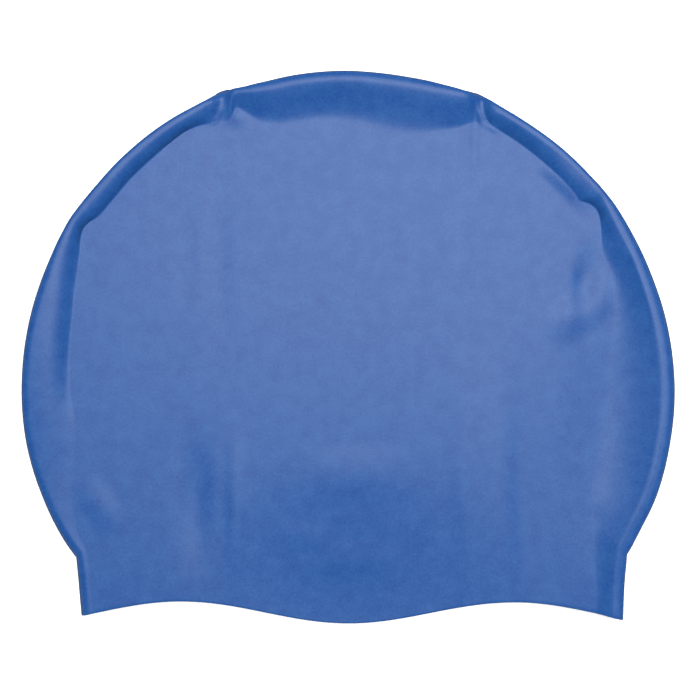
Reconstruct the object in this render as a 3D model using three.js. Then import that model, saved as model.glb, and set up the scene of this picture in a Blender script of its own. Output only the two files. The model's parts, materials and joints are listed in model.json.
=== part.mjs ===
// A one-piece moulded silicone swim cap, lying flat on its back panel as it comes out of the mould.
// Millimetres, +Z up. The back panel rests on Z 0, the crown points to +Y and the open mouth to -Y.
// The whole cap is one thin wall: a back and a front panel that pass into each other in a rolled
// fold round the dome, and a short skirt below it that ends in a waved, open rim.

import * as THREE from "three";
import { LoftGeometry } from "three/addons/geometries/LoftGeometry.js";
import { mergeVertices } from "three/addons/utils/BufferGeometryUtils.js";

const { clamp, degToRad, lerp, smoothstep } = THREE.MathUtils;

// Outline of the cap as it lies, an oval with a straight skirt under it
const WIDTH = 220; // across the oval's widest line
const CROWN_RISE = 107.3; // widest line up to the top of the crown
const CHEEK_DROP = 103; // widest line down to where the lower half of the oval would end
const NECK_TURN = 123.3; // degrees round the oval from the crown to the neck, where the skirt starts
const SKIRT_LENGTH = 18.8; // neck down to the middle height of the rim
const RIM_WIDTH = 182.8; // corner to corner of the rim
const RIM_SHIFT = 1.3; // how far the rim's middle sits to the right of the crown
const RIM_WAVE = 3.8; // how far the rim's edge swings above and below its middle height
const RIM_WAVE_LENGTH = 112; // one full wave along the rim
const SWELL = 1; // how far the outline stands out of the plain oval at its strongest corner

// Thickness of the cap as it lies
const WALL = 1; // the silicone itself
const PANEL_HEIGHT = 7.6; // table up to the outside of the front panel
const BACK_TURN = 5; // in from the outline to where the back panel lies flat on the table
const ROLL_REACH = 20; // in from the outline to the foot of the widest soft part of the roll
const ROLL_RISE = 4; // front panel up to the crest of the roll at its strongest
const FOLD_HEIGHT = 1; // height or depth of the strongest fold in the front panel

// Turns are degrees round the oval from the crown, left of it negative. Past the neck they go on down
// the straight side of the skirt and reach the rim's corner at this turn.
const CORNER_TURN = 140;

// The rolled fold, with one row for each section that differs from its neighbours. swell is a share of
// SWELL, rise a share of ROLL_RISE, and crest and foot, both measured in from the outline, shares of
// ROLL_REACH. crisp goes from 0, a foot that fades into the panel, to 1, a foot that ends in a corner.
const ROLL = [
  { turn: -140, swell: 0, crest: 0.2, rise: 0.25, foot: 0.45, crisp: 0 },
  { turn: -123, swell: -0.45, crest: 0.22, rise: 0.3, foot: 0.6, crisp: 0 },
  { turn: -110, swell: -0.26, crest: 0.22, rise: 0.25, foot: 0.75, crisp: 0 },
  { turn: -100, swell: -0.18, crest: 0.2, rise: 0.3, foot: 0.85, crisp: 0 },
  { turn: -90, swell: -0.05, crest: 0.18, rise: 0.4, foot: 0.75, crisp: 0.1 },
  { turn: -80, swell: -0.1, crest: 0.18, rise: 0.65, foot: 0.75, crisp: 0.2 },
  { turn: -70, swell: 0, crest: 0.18, rise: 0.75, foot: 0.7, crisp: 0.3 },
  { turn: -65, swell: 0.22, crest: 0.15, rise: 0.8, foot: 0.55, crisp: 0.5 },
  { turn: -60, swell: 0.6, crest: 0.1, rise: 0.65, foot: 0.33, crisp: 0.9 },
  { turn: -54, swell: 0.58, crest: 0.09, rise: 0.9, foot: 0.32, crisp: 1 },
  { turn: -40, swell: 0.78, crest: 0.08, rise: 0.9, foot: 0.3, crisp: 1 },
  { turn: -30, swell: 0.94, crest: 0.08, rise: 0.85, foot: 0.28, crisp: 1 },
  { turn: -23, swell: 0.95, crest: 0.12, rise: 0.4, foot: 0.45, crisp: 0.4 },
  { turn: -15, swell: 0.24, crest: 0.12, rise: 0.95, foot: 0.65, crisp: 0.6 },
  { turn: 0, swell: 0.24, crest: 0.14, rise: 1, foot: 0.8, crisp: 0.3 },
  { turn: 12, swell: 0.1, crest: 0.15, rise: 1, foot: 0.9, crisp: 0.2 },
  { turn: 19, swell: 0.5, crest: 0.12, rise: 0.85, foot: 0.65, crisp: 0.4 },
  { turn: 23.5, swell: 0.95, crest: 0.1, rise: 0.4, foot: 0.5, crisp: 0.4 },
  { turn: 32, swell: 0.4, crest: 0.08, rise: 0.9, foot: 0.34, crisp: 1 },
  { turn: 46, swell: 0.2, crest: 0.1, rise: 0.9, foot: 0.38, crisp: 0.9 },
  { turn: 53, swell: 0.4, crest: 0.09, rise: 0.7, foot: 0.33, crisp: 0.8 },
  { turn: 60, swell: -0.08, crest: 0.13, rise: 0.8, foot: 0.5, crisp: 0.6 },
  { turn: 70, swell: -0.34, crest: 0.15, rise: 0.8, foot: 0.6, crisp: 0.4 },
  { turn: 80, swell: -0.24, crest: 0.17, rise: 0.65, foot: 0.85, crisp: 0.1 },
  { turn: 90, swell: 0, crest: 0.17, rise: 0.7, foot: 1, crisp: 0.1 },
  { turn: 100, swell: 0.12, crest: 0.16, rise: 0.7, foot: 1, crisp: 0.1 },
  { turn: 110, swell: 0.6, crest: 0.16, rise: 0.65, foot: 0.9, crisp: 0.1 },
  { turn: 123, swell: 0.6, crest: 0.18, rise: 0.4, foot: 0.65, crisp: 0 },
  { turn: 140, swell: 0, crest: 0.24, rise: 0.3, foot: 0.5, crisp: 0 },
];

// The soft folds of the front panel, one row each. x and y place a fold's middle from the middle of the
// oval's widest line, and length, width and bow are its size, all as shares of half the WIDTH. angle is
// its direction in degrees from +X, bow bends it towards its left, and height is a share of FOLD_HEIGHT,
// above 0 for a ridge and below 0 for a hollow.
const FOLDS = [
  { x: -0.405, y: 0.47, length: 0.9, width: 0.11, angle: 90, bow: 0, height: 0.7 }, // left packing crease
  { x: 0.4, y: 0.12, length: 1.4, width: 0.11, angle: 93.7, bow: 0, height: 0.7 }, // right packing crease
  { x: -0.32, y: -0.4, length: 0.6, width: 0.12, angle: 90, bow: 0, height: 0.6 }, // lower left ridge
  { x: -0.44, y: -0.32, length: 0.45, width: 0.16, angle: 90, bow: 0, height: -0.5 }, // lower left hollow
  { x: 0.51, y: -0.35, length: 0.6, width: 0.16, angle: 90, bow: 0, height: -0.6 }, // lower right hollow
  { x: 0.31, y: -0.26, length: 0.3, width: 0.12, angle: 90, bow: 0, height: -0.4 }, // inner right hollow
  { x: 0.01, y: -0.22, length: 0.6, width: 0.2, angle: 0, bow: -0.1, height: 0.7 }, // brow ridge
  { x: 0.02, y: -0.4, length: 0.5, width: 0.22, angle: 0, bow: -0.1, height: -0.9 }, // brow hollow
  { x: -0.13, y: -0.45, length: 0.24, width: 0.1, angle: -12, bow: 0, height: 0.6 }, // low streak
  { x: -0.13, y: -0.57, length: 0.36, width: 0.16, angle: -10, bow: 0, height: -0.6 }, // low hollow
  { x: -0.76, y: -0.36, length: 0.3, width: 0.14, angle: 105, bow: 0.08, height: -0.8 }, // left cheek hollow
  { x: 0.76, y: 0.36, length: 0.34, width: 0.1, angle: 105, bow: -0.1, height: 0.9 }, // right cheek ridge
  { x: 0.75, y: 0.2, length: 0.3, width: 0.12, angle: 50, bow: -0.08, height: -0.8 }, // right cheek hollow
  { x: -0.5, y: 0.45, length: 0.5, width: 0.14, angle: 90, bow: 0, height: -0.4 }, // left temple hollow
];

// How finely the surface is divided
const STEPS = { backPanel: 7, backTurn: 4, crest: 3, fall: 4, frontPanel: 15 };

// Rings run across the cap from the rim up to the crown. Each row gives the turns of a ring's left and
// right end and the number of rings from there to the next row. The rows after the neck are the kinks,
// where the roll changes from soft to crisp or back.
const RING_ROWS = [
  { left: -CORNER_TURN, right: CORNER_TURN, rings: 5 },
  { left: -NECK_TURN, right: NECK_TURN, rings: 15 },
  { left: -60, right: 53, rings: 9 },
  { left: -23, right: 23.5, rings: 7 },
  { left: 0, right: 0, rings: 1 },
];
const LAST_RING = RING_ROWS.slice(0, -1).reduce((sum, row) => sum + row.rings, 0);
const WAVED_RINGS = 10; // rings from the rim up until its wave has faded
const MIDDLE_END = 0.32; // where the last ring ends on the middle line, a share of CROWN_RISE

const HALF_WIDTH = WIDTH / 2;
const NECK_Y = CHEEK_DROP * Math.cos(degToRad(NECK_TURN));

const ROLL_COLUMNS = ["swell", "crest", "rise", "foot", "crisp"];
const rollCurve = new THREE.CubicInterpolant(
  ROLL.map((row) => row.turn),
  ROLL.flatMap((row) => ROLL_COLUMNS.map((column) => row[column])),
  ROLL_COLUMNS.length,
);

// The roll's section at any turn, in millimetres, worked out between the rows of the table.
function sectionAt(turn) {
  const [swell, crest, rise, foot, crisp] = rollCurve.evaluate(turn);
  return {
    swell: swell * SWELL,
    crest: crest * ROLL_REACH,
    rise: rise * ROLL_RISE,
    foot: foot * ROLL_REACH,
    crisp: clamp(crisp, 0, 1),
  };
}

// Height of the rim's edge on the page, at x.
function rimY(x) {
  return NECK_Y - SKIRT_LENGTH - RIM_WAVE * Math.cos((2 * Math.PI * x) / RIM_WAVE_LENGTH);
}

// The point of the outline at a turn, and the direction from it into the cap, both seen from above.
function outlineAt(turn, swell) {
  const angle = degToRad(clamp(turn, -NECK_TURN, NECK_TURN));
  const halfHeight = Math.cos(angle) > 0 ? CROWN_RISE : CHEEK_DROP;
  const point = new THREE.Vector2(HALF_WIDTH * Math.sin(angle), halfHeight * Math.cos(angle));
  const inward = new THREE.Vector2(-Math.sin(angle) / HALF_WIDTH, -Math.cos(angle) / halfHeight);
  inward.normalize();
  point.addScaledVector(inward, -swell);
  const down = (Math.abs(turn) - NECK_TURN) / (CORNER_TURN - NECK_TURN);
  if (down > 0) {
    const side = Math.sign(turn);
    const cornerX = (side * RIM_WIDTH) / 2 + RIM_SHIFT;
    point.lerp(new THREE.Vector2(cornerX, rimY(cornerX)), down);
    inward.lerp(new THREE.Vector2(-side, 0), Math.min(1, 2 * down)).normalize();
  }
  return { point, inward };
}

// One soft fold's height at a place on the front panel: a bell along and across it.
function foldHeight(fold, x, y) {
  const dx = x / HALF_WIDTH - fold.x;
  const dy = y / HALF_WIDTH - fold.y;
  const angle = degToRad(fold.angle);
  const along = (dx * Math.cos(angle) + dy * Math.sin(angle)) / (fold.length / 2);
  const bend = fold.bow * along * along;
  const across = (dy * Math.cos(angle) - dx * Math.sin(angle) - bend) / (fold.width / 2);
  const bell = (share) => (Math.abs(share) < 1 ? (1 + Math.cos(Math.PI * share)) / 2 : 0);
  return fold.height * FOLD_HEIGHT * bell(along) * bell(across);
}

// Height of the front panel above the table, folds included.
function panelZ(place) {
  return FOLDS.reduce((z, fold) => z + foldHeight(fold, place.x, place.y), PANEL_HEIGHT);
}

// The line of a ring on one side: from the middle of the back panel, out and round the fold at this
// turn, up over the roll, and in to the middle of the front panel. wave is the share of the rim's wave
// that the ring still has.
function lineAt(turn, middleY, wave) {
  const { swell, crest, rise, foot, crisp } = sectionAt(turn);
  const { point, inward } = outlineAt(turn, swell);
  const middle = new THREE.Vector2(0, middleY);
  const inFromOutline = (distance) => point.clone().addScaledVector(inward, distance);
  const cornerX = RIM_WIDTH / 2;
  const line = [];
  const add = (place, z) => {
    const straightRim = lerp(rimY(0), rimY(cornerX), Math.abs(place.x) / cornerX);
    line.push(new THREE.Vector3(place.x, place.y + wave * (rimY(place.x) - straightRim), z));
  };

  const crestZ = panelZ(inFromOutline(crest)) + rise;
  const foldZ = crestZ - crest;
  for (let step = 0; step < STEPS.backPanel; step++) {
    add(middle.clone().lerp(inFromOutline(BACK_TURN), step / STEPS.backPanel), 0);
  }
  for (let step = STEPS.backTurn; step > 0; step--) {
    const angle = (Math.PI / 2) * (step / STEPS.backTurn);
    add(inFromOutline(BACK_TURN * (1 - Math.cos(angle))), foldZ * (1 - Math.sin(angle)));
  }
  for (let step = 0; step <= STEPS.crest; step++) {
    const angle = (Math.PI / 2) * (step / STEPS.crest);
    add(inFromOutline(crest * (1 - Math.cos(angle))), foldZ + crest * Math.sin(angle));
  }
  for (let step = 1; step <= STEPS.fall; step++) {
    const share = step / STEPS.fall;
    const fallen = lerp(smoothstep(share, 0, 1), share ** 2, crisp);
    const place = inFromOutline(lerp(crest, foot, share));
    add(place, panelZ(place) + rise * (1 - fallen));
  }
  for (let step = 1; step <= STEPS.frontPanel; step++) {
    const place = inFromOutline(foot).lerp(middle, step / STEPS.frontPanel);
    add(place, panelZ(place));
  }
  return line;
}

// A closed ring round the cap: along the left side's line to the front panel, and back by the right's.
function ringAt(left, right, number) {
  const middleY = lerp(rimY(0), MIDDLE_END * CROWN_RISE, number / LAST_RING);
  const wave = Math.max(0, 1 - number / WAVED_RINGS);
  const leftLine = lineAt(left, middleY, wave);
  const rightLine = lineAt(right, middleY, wave);
  return [...leftLine, ...rightLine.slice(1, -1).reverse()];
}

// All the rings, from the rim to the crown. The last one runs up the crown's line and back down it, and
// so closes the cap.
function capRings() {
  const rings = [];
  RING_ROWS.forEach((row, i) => {
    const next = RING_ROWS[i + 1] ?? row;
    for (let ring = 0; ring < row.rings; ring++) {
      const share = ring / row.rings;
      const left = lerp(row.left, next.left, share);
      const right = lerp(row.right, next.right, share);
      rings.push(ringAt(left, right, rings.length));
    }
  });
  return rings;
}

// Gives a thin skin its wall: a copy of the skin, set in by the wall and turned over, and a lip that
// joins the two along the skin's open edge.
function thicken(skin, wall) {
  const outside = skin.getAttribute("position");
  const normals = skin.getAttribute("normal");
  const points = [...outside.array];
  const faces = [...skin.index.array];
  const edges = new Map();
  const point = new THREE.Vector3();
  const normal = new THREE.Vector3();
  for (let i = 0; i < outside.count; i++) {
    normal.fromBufferAttribute(normals, i);
    point.fromBufferAttribute(outside, i).addScaledVector(normal, -wall);
    points.push(...point.toArray());
  }
  for (let i = 0; i < skin.index.count; i += 3) {
    const [a, b, c] = skin.index.array.slice(i, i + 3);
    faces.push(a + outside.count, c + outside.count, b + outside.count);
    for (const [from, to] of [[a, b], [b, c], [c, a]]) edges.set(`${from} ${to}`, [from, to]);
  }
  for (const [from, to] of edges.values()) {
    if (edges.has(`${to} ${from}`)) continue;
    faces.push(to, from, from + outside.count);
    faces.push(to, from + outside.count, to + outside.count);
  }
  const solid = new THREE.BufferGeometry();
  solid.setAttribute("position", new THREE.Float32BufferAttribute(points, 3));
  solid.setIndex(faces);
  return solid;
}

// Puts a geometry's box on the table with its middle over the origin.
function standOnOrigin(geometry) {
  geometry.computeBoundingBox();
  const { min, max } = geometry.boundingBox;
  geometry.translate(-(min.x + max.x) / 2, -(min.y + max.y) / 2, -min.z);
}

const loft = new LoftGeometry(capRings());
const openSkin = new THREE.BufferGeometry();
openSkin.setAttribute("position", loft.getAttribute("position"));
openSkin.setIndex(loft.index);
const skin = mergeVertices(openSkin);
skin.computeVertexNormals();

const shell = thicken(skin, WALL);
shell.computeVertexNormals();
standOnOrigin(shell);

const silicone = new THREE.MeshStandardMaterial({ color: 0x5173b2, roughness: 0.5, metalness: 0 });
const capShell = new THREE.Mesh(shell, silicone);
capShell.name = "cap_shell";

const cap = new THREE.Group();
cap.add(capShell);

export default cap;
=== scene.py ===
import json
import math

import bpy
import numpy as np
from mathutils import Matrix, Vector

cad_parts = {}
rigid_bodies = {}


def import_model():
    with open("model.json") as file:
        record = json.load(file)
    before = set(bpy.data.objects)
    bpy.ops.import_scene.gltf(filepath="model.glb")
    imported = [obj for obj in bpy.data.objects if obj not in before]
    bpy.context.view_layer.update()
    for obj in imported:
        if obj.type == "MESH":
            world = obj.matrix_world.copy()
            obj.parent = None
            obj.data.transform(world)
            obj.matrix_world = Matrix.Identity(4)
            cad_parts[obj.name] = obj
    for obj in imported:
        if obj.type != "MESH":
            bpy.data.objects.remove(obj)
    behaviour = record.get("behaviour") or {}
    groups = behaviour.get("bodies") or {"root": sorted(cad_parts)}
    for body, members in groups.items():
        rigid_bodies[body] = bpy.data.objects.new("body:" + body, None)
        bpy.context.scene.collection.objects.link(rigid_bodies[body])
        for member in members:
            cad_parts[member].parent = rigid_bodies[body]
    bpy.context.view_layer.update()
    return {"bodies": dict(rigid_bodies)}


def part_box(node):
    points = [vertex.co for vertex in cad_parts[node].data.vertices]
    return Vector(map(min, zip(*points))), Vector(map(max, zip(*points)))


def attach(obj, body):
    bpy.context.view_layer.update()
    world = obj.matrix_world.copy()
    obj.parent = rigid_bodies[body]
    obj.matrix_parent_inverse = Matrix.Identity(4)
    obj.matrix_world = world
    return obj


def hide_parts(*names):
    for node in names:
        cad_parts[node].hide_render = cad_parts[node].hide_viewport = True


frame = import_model()


# Cap shell
# The whole cap is one moulding of soft silicone, about a millimetre thick, with no seam or trim.
# It starts as a long flat ribbon that is wrapped round the dome from one corner of the rim to the other,
# so that its lines follow the rolled fold. Its two edges close on the cap's middle line, where they are
# welded, and the skin then gets its wall and a softened lip.

low, high = (np.array(corner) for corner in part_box("cap_shell"))
half_width = (high[0] - low[0]) / 2
crown_rise = 0.1073  # widest line of the dome up to the top of the crown
cheek_drop = 0.1030  # widest line down to where the lower half of the oval would end
crown_gap = 0.0002  # the top of the oval stays this far inside the cap's box
widest_y = high[1] - crown_rise - crown_gap
left_neck, right_neck = 123.3, 122.0  # degrees round the oval from the crown to where the skirt starts
corner_turn = 140.0  # the same, carried on down the straight side of the skirt to the rim's corner
neck_y = widest_y + cheek_drop * math.cos(math.radians(left_neck))
rim_half_width = 0.0914
rim_shift = 0.0013
rim_drop = 0.0188  # neck down to the rim's middle height
rim_wave = 0.0038
rim_wave_length = 0.112
wall = 0.001
weld_distance = 1e-6
lip_bend = 75  # degrees, the rim's cut edges bend more sharply than this
lip_bevel = 0.0004
smooth_bend = 50  # degrees, up to which the skin is shaded smooth
panel_height = 0.0076
back_turn = 0.005  # from the outline in to where the back panel leaves the table
roll_reach = 0.020
roll_rise = 0.004
swell_size = 0.001
fold_height = 0.001

# The rolled fold by its turn round the dome, left of the crown negative. swell is how far the outline
# stands out of the oval, crest and foot are measured in from the outline, and rise is the crest's height
# over the panel, all as shares of the sizes above. square shapes the way up to the crest, from a round
# quarter at 2 to a tight bend with a flat top at 5. hold is how long the fall stays level after the
# crest, and ease how softly it runs out at the foot, where 1 is a sharp corner. lean turns the section
# from square to the outline, 0, to straight down the cap, 1.
roll_columns = ("turn", "swell", "crest", "square", "rise", "foot", "hold", "ease", "lean")
roll = np.array([
    (-140, 0.00, 0.155, 2.0, 0.05, 0.210, 1.2, 1.2, 0),
    (-130, -0.10, 0.155, 2.0, 0.05, 0.210, 1.2, 1.2, 0),
    (-122, -0.01, 0.150, 2.0, 0.05, 0.240, 1.2, 1.4, 0),
    (-110, -0.16, 0.150, 2.2, 0.12, 0.550, 1.6, 1.8, 0),
    (-100, 0.06, 0.155, 2.4, 0.36, 0.860, 2.6, 1.8, 0),
    (-90, 0.00, 0.155, 2.4, 0.64, 0.820, 3.0, 1.6, 0),
    (-80, -0.06, 0.152, 2.4, 0.80, 0.740, 3.0, 1.3, 0),
    (-75, -0.04, 0.152, 2.4, 0.80, 0.690, 2.8, 1.3, 0),
    (-70, 0.02, 0.150, 2.4, 0.78, 0.600, 2.2, 1.3, 0),
    (-65, 0.12, 0.126, 3.0, 0.72, 0.490, 1.8, 1.3, 0),
    (-62, 0.31, 0.104, 3.6, 0.70, 0.400, 1.9, 1.2, 0),
    (-60, 0.44, 0.092, 3.6, 0.68, 0.320, 1.9, 1.1, 0),
    (-58, 0.62, 0.086, 3.6, 0.66, 0.275, 1.9, 1.0, 0),
    (-56.5, 0.56, 0.090, 3.8, 0.66, 0.290, 1.9, 1.0, 0),
    (-55, 0.44, 0.087, 4.0, 0.68, 0.335, 2.0, 1.0, 0),
    (-50, 0.20, 0.097, 4.2, 0.72, 0.355, 2.0, 1.0, 0),
    (-45, 0.42, 0.097, 4.2, 0.72, 0.345, 2.0, 1.0, 0),
    (-40, 0.56, 0.095, 4.2, 0.72, 0.340, 2.0, 1.0, 0),
    (-35, 0.72, 0.097, 4.2, 0.72, 0.320, 2.0, 1.0, 0),
    (-31, 0.73, 0.094, 4.2, 0.70, 0.300, 1.9, 1.0, 0.1),
    (-28, 0.66, 0.088, 4.0, 0.68, 0.325, 1.8, 1.0, 0.35),
    (-26.4, 0.75, 0.086, 4.0, 0.66, 0.370, 1.6, 1.1, 0.6),
    (-25.2, 0.86, 0.088, 3.5, 0.60, 0.400, 1.5, 1.2, 0.8),
    (-24.5, 1.07, 0.100, 2.6, 0.60, 0.420, 1.5, 1.2, 0.95),
    (-23.8, 1.33, 0.130, 2.0, 0.52, 0.450, 1.4, 1.3, 1),
    (-23.2, 1.71, 0.150, 2.0, 0.43, 0.480, 1.4, 1.3, 1),
    (-22.6, 1.80, 0.155, 2.0, 0.34, 0.510, 1.4, 1.3, 1),
    (-22, 1.75, 0.150, 2.0, 0.32, 0.530, 1.4, 1.3, 1),
    (-21.4, 1.44, 0.130, 2.4, 0.42, 0.530, 1.4, 1.3, 1),
    (-20.9, 0.94, 0.110, 3.4, 0.56, 0.480, 1.4, 1.3, 0.95),
    (-20.4, 0.84, 0.098, 3.8, 0.64, 0.370, 1.4, 1.5, 0.85),
    (-19.8, 0.64, 0.098, 4.2, 0.68, 0.340, 1.4, 1.6, 0.8),
    (-19, 0.40, 0.102, 4.4, 0.73, 0.420, 1.3, 1.7, 0.6),
    (-18, 0.20, 0.116, 3.8, 0.78, 0.540, 1.3, 1.8, 0.4),
    (-17, 0.18, 0.134, 3.6, 0.82, 0.660, 1.3, 1.9, 0.2),
    (-15, 0.01, 0.152, 3.4, 0.88, 0.740, 1.4, 1.8, 0.05),
    (-10, 0.08, 0.162, 3.3, 0.95, 0.800, 1.4, 1.8, 0),
    (-5, 0.10, 0.165, 3.2, 1.00, 0.810, 1.4, 1.9, 0),
    (0, 0.06, 0.165, 3.2, 1.00, 0.870, 1.4, 2.0, 0),
    (5, -0.14, 0.168, 3.3, 1.00, 0.940, 1.4, 2.0, 0),
    (10, -0.20, 0.170, 3.4, 1.00, 0.990, 1.4, 2.0, 0),
    (14, -0.04, 0.164, 3.5, 0.97, 0.940, 1.4, 1.9, 0.05),
    (17, 0.07, 0.148, 3.6, 0.93, 0.820, 1.4, 1.7, 0.2),
    (19.5, 0.32, 0.124, 3.9, 0.86, 0.700, 1.4, 1.5, 0.45),
    (21, 0.46, 0.105, 4.2, 0.80, 0.600, 1.4, 1.4, 0.7),
    (21.8, 0.76, 0.105, 3.5, 0.68, 0.540, 1.4, 1.4, 0.85),
    (22.4, 1.04, 0.115, 2.6, 0.50, 0.510, 1.4, 1.4, 0.95),
    (23, 1.41, 0.130, 2.2, 0.30, 0.505, 1.4, 1.3, 1),
    (23.6, 1.49, 0.135, 2.0, 0.19, 0.475, 1.4, 1.2, 1),
    (24.2, 1.37, 0.125, 2.0, 0.22, 0.430, 1.4, 1.2, 1),
    (24.9, 1.13, 0.105, 2.6, 0.36, 0.375, 1.5, 1.1, 0.85),
    (25.8, 0.86, 0.095, 3.4, 0.52, 0.345, 1.7, 1.0, 0.6),
    (27, 0.56, 0.100, 4.0, 0.64, 0.350, 1.9, 1.0, 0.35),
    (28.5, 0.34, 0.102, 4.2, 0.69, 0.345, 1.5, 1.0, 0.15),
    (30, 0.22, 0.104, 4.4, 0.72, 0.345, 1.5, 1.0, 0),
    (35, 0.06, 0.104, 4.4, 0.72, 0.350, 1.5, 1.0, 0),
    (40, 0.10, 0.102, 4.4, 0.72, 0.370, 1.5, 1.0, 0),
    (45, 0.03, 0.099, 4.2, 0.72, 0.373, 1.5, 1.0, 0),
    (48.5, 0.02, 0.098, 4.0, 0.72, 0.385, 1.5, 1.0, 0),
    (50, 0.13, 0.095, 3.8, 0.72, 0.405, 1.5, 1.0, 0),
    (51, 0.15, 0.088, 3.4, 0.70, 0.345, 1.8, 1.0, 0),
    (52.5, 0.24, 0.092, 3.2, 0.64, 0.295, 1.8, 1.0, 0),
    (54, 0.32, 0.120, 3.2, 0.64, 0.305, 1.9, 1.1, 0),
    (56, 0.21, 0.150, 3.6, 0.66, 0.380, 1.6, 1.2, 0),
    (60, -0.08, 0.180, 3.8, 0.74, 0.560, 1.3, 1.4, 0),
    (65, -0.27, 0.200, 3.6, 0.84, 0.620, 1.1, 1.6, 0),
    (70, -0.37, 0.220, 3.5, 0.92, 0.720, 1.0, 1.6, 0),
    (75, -0.28, 0.228, 3.5, 0.98, 0.860, 1.0, 1.6, 0),
    (80, -0.20, 0.230, 3.5, 1.02, 1.020, 1.0, 1.6, 0),
    (90, -0.11, 0.225, 3.6, 1.06, 1.150, 1.0, 1.6, 0),
    (100, -0.22, 0.220, 3.8, 1.10, 1.150, 1.0, 1.6, 0),
    (110, 0.06, 0.215, 4.2, 1.06, 1.080, 1.0, 1.6, 0),
    (117, 0.02, 0.205, 4.8, 0.92, 0.940, 1.0, 1.6, 0),
    (122, 0.76, 0.195, 4.4, 0.74, 0.700, 1.1, 1.5, 0),
    (130, 0.40, 0.185, 4.0, 0.56, 0.500, 1.2, 1.4, 0),
    (140, 0.00, 0.180, 4.0, 0.56, 0.480, 1.2, 1.4, 0),
], dtype=[(name, float) for name in roll_columns])

# The soft folds of the front panel. x and y place a fold's middle from the middle of the widest line,
# and length, width and bow are its size, as shares of the half width. angle is its direction in degrees
# from +X, bow bends it towards its left, and height is a share of the fold height, below 0 for a hollow.
fold_columns = ("x", "y", "length", "width", "angle", "bow", "height")
folds = np.array([
    # Upright creases, from the crown down to the rim
    (-0.395, 0.410, 0.90, 0.115, 90.0, 0.000, -0.22),
    (-0.470, -0.370, 0.58, 0.150, 88.0, 0.000, -0.95),
    (-0.342, -0.400, 0.74, 0.092, 90.0, 0.000, 0.65),
    (0.388, 0.760, 0.30, 0.050, 90.0, 0.000, -0.20),
    (0.410, 0.450, 0.60, 0.140, 90.0, 0.000, -0.15),
    (0.369, -0.371, 1.30, 0.170, 91.0, 0.000, 0.70),
    (0.460, -0.371, 1.30, 0.170, 91.0, 0.000, 0.90),
    # The sag over the opening, and the ridges along its upper side
    (0.000, -0.740, 1.05, 1.100, 0.0, 0.000, -3.30),
    (0.020, -0.260, 0.50, 0.220, 0.0, -0.040, 0.28),
    (0.010, -0.520, 0.40, 0.160, 0.0, -0.040, 0.25),
    (-0.130, -0.455, 0.26, 0.120, -8.0, 0.000, 0.18),
    # Pinched places beside the two kinks of the roll
    (-0.388, 0.853, 0.085, 0.024, 66.7, 0.000, 0.24),
    (-0.339, 0.847, 0.105, 0.130, 0.0, 0.000, 0.60),
    (-0.407, 0.825, 0.065, 0.042, 20.0, 0.000, 0.25),
    (0.406, 0.838, 0.110, 0.036, 110.0, -0.012, 0.32),
    (0.387, 0.850, 0.140, 0.034, 96.5, 0.000, -0.20),
    (0.442, 0.804, 0.080, 0.040, -38.0, 0.000, 0.30),
    # Dents by the sides
    (-0.760, -0.362, 0.26, 0.125, 120.0, 0.000, 0.36),
    (0.800, -0.100, 1.10, 0.380, 90.0, 0.000, -1.00),
    (0.661, 0.643, 0.30, 0.096, -44.3, -0.012, 0.90),
    (0.728, 0.315, 0.36, 0.115, 84.0, -0.010, -0.82),
    (0.711, 0.243, 0.31, 0.165, 39.0, 0.010, 0.80),
    (-0.500, 0.450, 0.50, 0.120, 90.0, 0.000, -0.10),
], dtype=[(name, float) for name in fold_columns])

# The ribbon's stations run from the rim up to the crown, the same number on either side. Each row gives
# the turn on the left and on the right where a stretch starts, and the stations in it.
stretches = [
    (-corner_turn, corner_turn, 14),
    (-left_neck, right_neck, 54),
    (-66.0, 64.0, 42),
    (-52.0, 48.0, 26),
    (-27.0, 29.0, 46),
    (-18.0, 19.0, 22),
    (0.0, 0.0, 0),
]
back_panel_steps = 8
back_turn_steps = 6
crest_steps = 10
fall_steps = 15
front_panel_steps = 70
panel_crowding = 1.35  # above 1, the panel's lines stand closer together by the foot of the fold
middle_end = 0.32  # where the crown's line ends on the middle line, a share of crown_rise
waved_share = 0.28  # share of the stations, from the rim up, over which its wave fades


def along_roll(column, turn):
    """The roll table's column at any turn, on a smooth curve through its rows."""
    at, value = roll["turn"], roll[column]
    slope = np.gradient(value, at)
    row = np.clip(np.searchsorted(at, turn) - 1, 0, len(at) - 2)
    gap = at[row + 1] - at[row]
    share = np.clip((turn - at[row]) / gap, 0.0, 1.0)
    rise = value[row + 1] - value[row]
    start, end = slope[row] * gap, slope[row + 1] * gap
    return (value[row] + start * share + (3 * rise - 2 * start - end) * share ** 2
            + (start + end - 2 * rise) * share ** 3)


def rim_y(x):
    return neck_y - rim_drop - rim_wave * np.cos(2 * np.pi * x / rim_wave_length)


def bell(share):
    return np.where(np.abs(share) < 1, (1 + np.cos(np.pi * np.clip(share, -1, 1))) / 2, 0)


def front_height(x, y):
    """Height of the front panel above the table, with its soft folds."""
    height = np.full_like(x, panel_height)
    for fold in folds:
        dx = x / half_width - fold["x"]
        dy = (y - widest_y) / half_width - fold["y"]
        angle = math.radians(fold["angle"])
        along = (dx * math.cos(angle) + dy * math.sin(angle)) / (fold["length"] / 2)
        across = dy * math.cos(angle) - dx * math.sin(angle) - fold["bow"] * along ** 2
        height += fold["height"] * fold_height * bell(along) * bell(across / (fold["width"] / 2))
    return height


left_turns, right_turns = [], []
for (left, right, count), (next_left, next_right, _) in zip(stretches, stretches[1:]):
    left_turns += list(np.linspace(left, next_left, count, endpoint=False))
    right_turns += list(np.linspace(right, next_right, count, endpoint=False))
turn = np.array(left_turns + [0.0] + right_turns[::-1])
last = len(left_turns)
number = last - np.abs(np.arange(len(turn)) - last)

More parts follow.
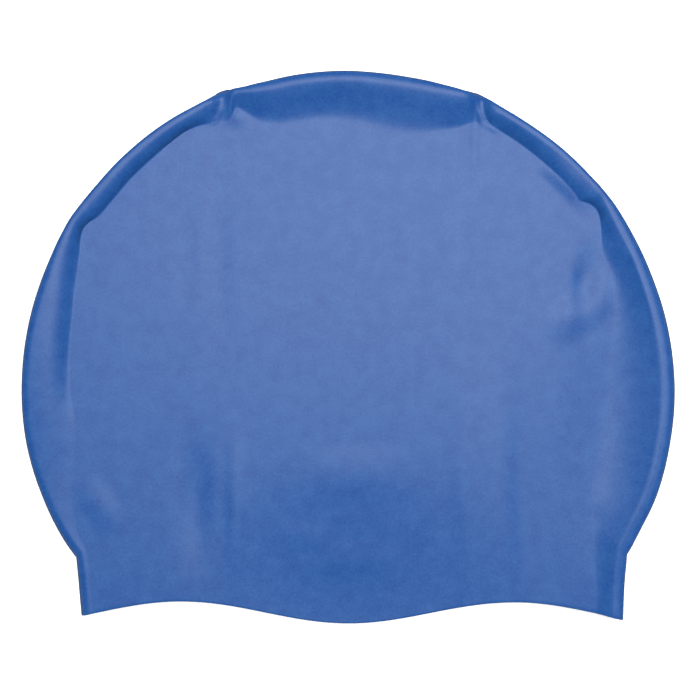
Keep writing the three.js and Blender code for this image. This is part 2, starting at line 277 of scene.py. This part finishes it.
# Outline and inward direction at each station
neck_turn = np.where(turn < 0, left_neck, right_neck)
dome_angle = np.radians(np.clip(turn, -left_neck, right_neck))
half_height = np.where(np.cos(dome_angle) > 0, crown_rise, cheek_drop)
inward = -np.stack([np.sin(dome_angle) / half_width, np.cos(dome_angle) / half_height], 1)
inward /= np.linalg.norm(inward, axis=1, keepdims=True)
outline = np.stack([half_width * np.sin(dome_angle), widest_y + half_height * np.cos(dome_angle)], 1)
outline -= inward * (along_roll("swell", turn) * swell_size)[:, None]
down = np.clip((np.abs(turn) - neck_turn) / (corner_turn - neck_turn), 0, 1)[:, None]
side = np.sign(turn)[:, None]
corner_x = side * rim_half_width + rim_shift
outline += (np.hstack([corner_x, rim_y(corner_x)]) - outline) * down
inward += (np.hstack([-side, 0 * side]) - inward) * np.minimum(1, 2 * down)
inward += (np.array([[0.0, -1.0]]) - inward) * np.clip(along_roll("lean", turn), 0, 1)[:, None]
inward /= np.linalg.norm(inward, axis=1, keepdims=True)

crest = along_roll("crest", turn) * roll_reach
square = along_roll("square", turn)
foot = along_roll("foot", turn) * roll_reach
rise = along_roll("rise", turn) * roll_rise
hold, ease = along_roll("hold", turn), np.maximum(1.0, along_roll("ease", turn))
wave = np.clip(1 - number / (waved_share * last), 0, 1)
middle_y = rim_y(0.0) + (widest_y + middle_end * crown_rise - rim_y(0.0)) * number / last
middle = np.stack([0 * middle_y, middle_y], 1)


def inside(distance):
    return outline + inward * np.broadcast_to(distance, turn.shape)[:, None]


def placed(plan, height):
    """A column of points, with the rim's wave laid over its plan."""
    x, y = plan[:, 0], plan[:, 1]
    straight_rim = rim_y(0.0) + (rim_y(rim_half_width) - rim_y(0.0)) * np.abs(x) / rim_half_width
    return np.stack([x, y + wave * (rim_y(x) - straight_rim), np.broadcast_to(height, x.shape)], 1)


crest_plan = inside(crest)
crest_height = front_height(crest_plan[:, 0], crest_plan[:, 1]) + rise
fold_line = crest_height - crest
columns = []
for step in range(back_panel_steps):
    share = step / back_panel_steps
    columns.append(placed(middle + (inside(back_turn) - middle) * share, 0.0))
for step in range(back_turn_steps, 0, -1):
    angle = math.pi / 2 * step / back_turn_steps
    columns.append(placed(inside(back_turn * (1 - math.cos(angle))), fold_line * (1 - math.sin(angle))))
for step in range(crest_steps + 1):
    angle = math.pi / 2 * step / crest_steps
    reach = (math.cos(angle) ** square + math.sin(angle) ** square) ** (-1 / square)
    columns.append(placed(
        inside(crest * (1 - reach * math.cos(angle))), fold_line + crest * reach * math.sin(angle)))
for step in range(1, fall_steps + 1):
    share = step / fall_steps
    fallen = 1 - (1 - share ** hold) ** ease
    plan = inside(crest + (foot - crest) * share)
    columns.append(placed(plan, front_height(plan[:, 0], plan[:, 1]) + rise * (1 - fallen)))
for step in range(1, front_panel_steps + 1):
    plan = inside(foot) + (middle - inside(foot)) * (step / front_panel_steps) ** panel_crowding
    columns.append(placed(plan, front_height(plan[:, 0], plan[:, 1])))
surface = np.stack(columns, 1)

bpy.ops.object.select_all(action="DESELECT")
bpy.ops.mesh.primitive_grid_add(
    x_subdivisions=len(columns) - 1, y_subdivisions=len(turn) - 1, size=2, location=(0, 0, 0))
cap = bpy.context.object
cap.name = "moulded_cap"
flat = np.empty(len(cap.data.vertices) * 3)
cap.data.vertices.foreach_get("co", flat)
flat = flat.reshape(-1, 3)
across = np.rint((flat[:, 0] + 1) / 2 * (len(columns) - 1)).astype(int)
station = np.rint((flat[:, 1] + 1) / 2 * (len(turn) - 1)).astype(int)
cap.data.vertices.foreach_set("co", surface[station, across].ravel())
cap.data.update()

bpy.ops.object.mode_set(mode="EDIT")
bpy.ops.mesh.select_all(action="SELECT")
bpy.ops.mesh.remove_doubles(threshold=weld_distance)
bpy.ops.mesh.normals_make_consistent(inside=False)
bpy.ops.object.mode_set(mode="OBJECT")

solidify = cap.modifiers.new("wall", "SOLIDIFY")
solidify.thickness = wall
solidify.offset = -1
bpy.ops.object.modifier_apply(modifier=solidify.name)
bpy.ops.object.mode_set(mode="EDIT")
bpy.ops.mesh.select_all(action="DESELECT")
bpy.ops.mesh.select_mode(type="EDGE")
bpy.ops.mesh.edges_select_sharp(sharpness=math.radians(lip_bend))
bpy.ops.object.mode_set(mode="OBJECT")
rim_top = neck_y - rim_drop / 2
for edge in cap.data.edges:
    if edge.select and max(cap.data.vertices[i].co.y for i in edge.vertices) > rim_top:
        edge.select = False
bpy.ops.object.mode_set(mode="EDIT")
bpy.ops.mesh.bevel(offset=lip_bevel, segments=3)
bpy.ops.object.mode_set(mode="OBJECT")
bpy.ops.object.shade_smooth_by_angle(angle=math.radians(smooth_bend))


def map_range(tree, from_ends, to_ends):
    node = tree.nodes.new("ShaderNodeMapRange")
    for name, value in zip(("From Min", "From Max", "To Min", "To Max"), from_ends + to_ends):
        node.inputs[name].default_value = value
    return node


silicone = bpy.data.materials.new("satin_silicone")
silicone.use_nodes = True
nodes, links = silicone.node_tree.nodes, silicone.node_tree.links


def noise(scale, detail):
    node = nodes.new("ShaderNodeTexNoise")
    node.inputs["Scale"].default_value = scale
    node.inputs["Detail"].default_value = detail
    links.new(place.outputs["Object"], node.inputs["Vector"])
    return node


shader = nodes["Principled BSDF"]
shader.inputs["IOR"].default_value = 1.29
shader.inputs["Specular IOR Level"].default_value = 0.43
place = nodes.new("ShaderNodeTexCoord")

# Where the skin turns edge-on, painted shade darkens its blue, and the skin there is also made rougher
facing = nodes.new("ShaderNodeSeparateXYZ")
upright = nodes.new("ShaderNodeMath")
upright.operation = "ABSOLUTE"
edge_on = map_range(silicone.node_tree, (0.35, 0.82), (1.0, 0.0))
links.new(place.outputs["Normal"], facing.inputs["Vector"])
links.new(facing.outputs["Z"], upright.inputs[0])
links.new(upright.outputs["Value"], edge_on.inputs["Value"])
blue_with_painted_edge_shade = nodes.new("ShaderNodeMix")
blue_with_painted_edge_shade.data_type = "RGBA"
# Painted shade: the dark blue laid on the skin where it turns edge-on, standing in for the dark outline
blue_with_painted_edge_shade.inputs["B"].default_value = (0.0045, 0.0250, 0.0930, 1)
links.new(edge_on.outputs["Result"], blue_with_painted_edge_shade.inputs["Factor"])
matt = map_range(silicone.node_tree, (0.0, 1.0), (0.4, 0.9))
links.new(edge_on.outputs["Result"], matt.inputs["Value"])
links.new(matt.outputs["Result"], shader.inputs["Roughness"])

# A fine speckle and a soft mottling in the blue, which also roughen the surface
speckle = noise(1300.0, 2.0)
mottle = noise(220.0, 3.0)
spread = nodes.new("ShaderNodeMath")
spread.operation = "MULTIPLY_ADD"
spread.inputs[1].default_value = 0.36
spread.inputs[2].default_value = 0.655
blotch = nodes.new("ShaderNodeMath")
blotch.operation = "MULTIPLY_ADD"
blotch.inputs[1].default_value = 0.33
links.new(speckle.outputs["Fac"], spread.inputs[0])
links.new(mottle.outputs["Fac"], blotch.inputs[0])
links.new(spread.outputs["Value"], blotch.inputs[2])
depth = map_range(silicone.node_tree, (0.85, 1.15), (0.0, 1.0))
links.new(blotch.outputs["Value"], depth.inputs["Value"])
blues = nodes.new("ShaderNodeMix")
blues.data_type = "RGBA"
blues.inputs["A"].default_value = (0.0050, 0.0470, 0.2060, 1)
blues.inputs["B"].default_value = (0.0182, 0.0810, 0.2560, 1)
links.new(depth.outputs["Result"], blues.inputs["Factor"])
links.new(blues.outputs["Result"], blue_with_painted_edge_shade.inputs["A"])
links.new(blue_with_painted_edge_shade.outputs["Result"], shader.inputs["Base Color"])
grain = nodes.new("ShaderNodeBump")
grain.inputs["Strength"].default_value = 1.0
grain.inputs["Distance"].default_value = 0.00004
links.new(blotch.outputs["Value"], grain.inputs["Height"])
links.new(grain.outputs["Normal"], shader.inputs["Normal"])
cap.data.materials.clear()
cap.data.materials.append(silicone)

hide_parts("cap_shell")
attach(cap, "root" if "root" in frame["bodies"] else next(iter(frame["bodies"])))


# Studio
# A plain white table under a soft box that hangs a little to the right of and above the crown, and the
# camera straight over the cap, as the photo looks at it.

bpy.ops.mesh.primitive_plane_add(size=6, location=(0, 0, 0))
table = bpy.context.object
table.name = "white_table"
white = bpy.data.materials.new("white_table_top")
white.use_nodes = True
paint = white.node_tree.nodes["Principled BSDF"]
paint.inputs["Base Color"].default_value = (0.97, 0.97, 0.97, 1)
paint.inputs["Roughness"].default_value = 0.9
paint.inputs["Emission Color"].default_value = (1, 1, 1, 1)
paint.inputs["Emission Strength"].default_value = 0.4
table.data.materials.append(white)

world = bpy.data.worlds.new("studio_air")
world.use_nodes = True
sky = world.node_tree.nodes
sky["Background"].inputs["Color"].default_value = (1, 1, 1, 1)
toward = sky.new("ShaderNodeTexCoord")
split = sky.new("ShaderNodeSeparateXYZ")
brightness = map_range(world.node_tree, (0.0, 0.8), (0.05, 0.38))
world.node_tree.links.new(toward.outputs["Generated"], split.inputs["Vector"])
world.node_tree.links.new(split.outputs["Z"], brightness.inputs["Value"])
world.node_tree.links.new(brightness.outputs["Result"], sky["Background"].inputs["Strength"])
bpy.context.scene.world = world

key = bpy.data.lights.new("soft_box", "AREA")
key.shape = "RECTANGLE"
key.size = 0.9
key.size_y = 0.45
key.energy = 23.0
key_object = bpy.data.objects.new("soft_box", key)
key_object.location = (0.10, 0.19, 1.2)
bpy.context.scene.collection.objects.link(key_object)

camera_data = bpy.data.cameras.new("over_the_cap")
camera_data.lens = 100
camera_data.sensor_width = 36
camera = bpy.data.objects.new("over_the_cap", camera_data)
frame_width = 0.2343
focus_height = 0.0078  # the picture is frame_width wide at this level, just over the front panel
camera.location = (0, 0, focus_height + frame_width * camera_data.lens / camera_data.sensor_width)
bpy.context.scene.collection.objects.link(camera)
bpy.context.scene.camera = camera
bpy.context.scene.view_settings.view_transform = "Standard"
